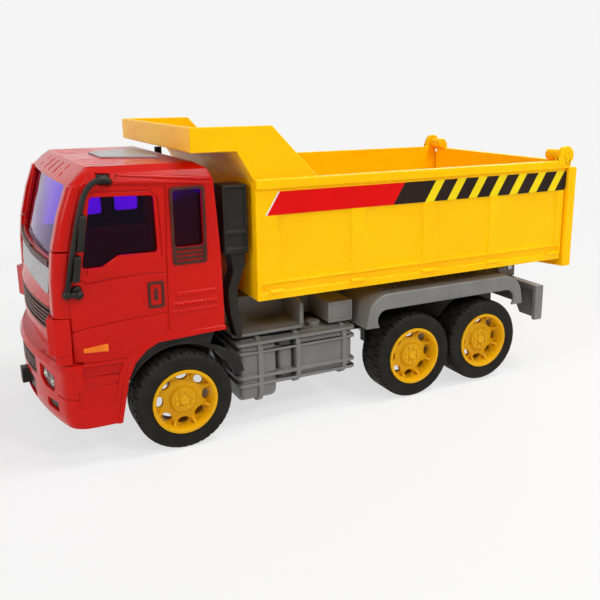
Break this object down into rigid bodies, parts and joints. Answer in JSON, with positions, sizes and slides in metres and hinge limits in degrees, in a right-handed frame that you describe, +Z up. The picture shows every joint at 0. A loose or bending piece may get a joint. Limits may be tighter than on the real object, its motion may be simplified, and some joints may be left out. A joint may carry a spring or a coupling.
{
  "type": "toy dump truck",
  "caption": "Toy dump truck with a red cab, a yellow tipping bed with a hinged tailgate, a grey deck with tanks and fenders, and rolling wheels.",
  "frame": {"origin": "on the ground plane, midway along the truck's overall length and width", "axes": "+X to the truck's left, +Y to its rear, +Z up; the truck faces -Y"},
  "size_m": [0.124, 0.281, 0.1386],
  "materials": {
    "cab_red": "glossy moulded plastic",
    "bed_yellow": "glossy moulded plastic",
    "rim_yellow": "satin moulded plastic",
    "tyre_rubber": "matt soft plastic with tread",
    "chassis_grey": "satin moulded plastic",
    "black_plastic": "satin moulded plastic",
    "tinted_glazing": "dark blue tinted clear plastic",
    "badge_grey": "silver grey paint",
    "trim_brown": "bronze grey metallic paint",
    "lamp_silver": "bright paint",
    "lamp_orange": "orange paint",
    "axle_steel": "bright wire"
  },
  "bodies": {
    "truck": {"cab_shell": "cab_red", "cab_glazing": "tinted_glazing", "badge_panel": "badge_grey", "wiper_cowl": "trim_brown", "upper_grille": "trim_brown", "lower_grille": "trim_brown", "headlamps": "lamp_silver", "fog_lamps": "black_plastic", "plate_recess": "black_plastic", "window_trims": "trim_brown", "door_handles": "trim_brown", "marker_lamps": "lamp_orange", "roof_panel": "lamp_silver", "underframe": "black_plastic", "front_mudguard_left": "black_plastic", "front_mudguard_right": "black_plastic", "deck": "chassis_grey", "tilt_pin": "black_plastic", "side_lockers": "chassis_grey", "rear_fender_left": "chassis_grey", "rear_fender_right": "chassis_grey", "rear_bumper": "chassis_grey", "tanks_left": "chassis_grey", "tanks_right": "chassis_grey", "mirror_left": "black_plastic", "mirror_right": "black_plastic", "intake_stack": "black_plastic", "exhaust_stack": "black_plastic"},
    "bed": {"bed_tub": "bed_yellow"},
    "tailgate": {"tailgate": "bed_yellow"},
    "front_wheels": {"front_axle": "axle_steel", "front_rim_left": "rim_yellow", "front_tyre_left": "tyre_rubber", "front_rim_right": "rim_yellow", "front_tyre_right": "tyre_rubber"},
    "middle_wheels": {"middle_axle": "axle_steel", "middle_rim_left": "rim_yellow", "middle_tyre_left": "tyre_rubber", "middle_rim_right": "rim_yellow", "middle_tyre_right": "tyre_rubber"},
    "rear_wheels": {"rear_axle": "axle_steel", "rear_rim_left": "rim_yellow", "rear_tyre_left": "tyre_rubber", "rear_rim_right": "rim_yellow", "rear_tyre_right": "tyre_rubber"}
  },
  "joints": [
    {"name": "bed_tilt", "type": "hinge", "parent": "truck", "child": "bed", "pos_m": [0, 0.1215, 0.0536], "axis": [-1, 0, 0], "range_deg": [0, 45]},
    {"name": "tailgate_swing", "type": "hinge", "parent": "bed", "child": "tailgate", "pos_m": [0, 0.133, 0.1186], "axis": [1, 0, 0], "range_deg": [0, 75]},
    {"name": "front_wheels_roll", "type": "hinge", "parent": "truck", "child": "front_wheels", "pos_m": [0, -0.0805, 0.0218], "axis": [1, 0, 0], "continuous": true},
    {"name": "middle_wheels_roll", "type": "hinge", "parent": "truck", "child": "middle_wheels", "pos_m": [0, 0.0391, 0.0218], "axis": [1, 0, 0], "continuous": true},
    {"name": "rear_wheels_roll", "type": "hinge", "parent": "truck", "child": "rear_wheels", "pos_m": [0, 0.0833, 0.0228], "axis": [1, 0, 0], "continuous": true}
  ]
}
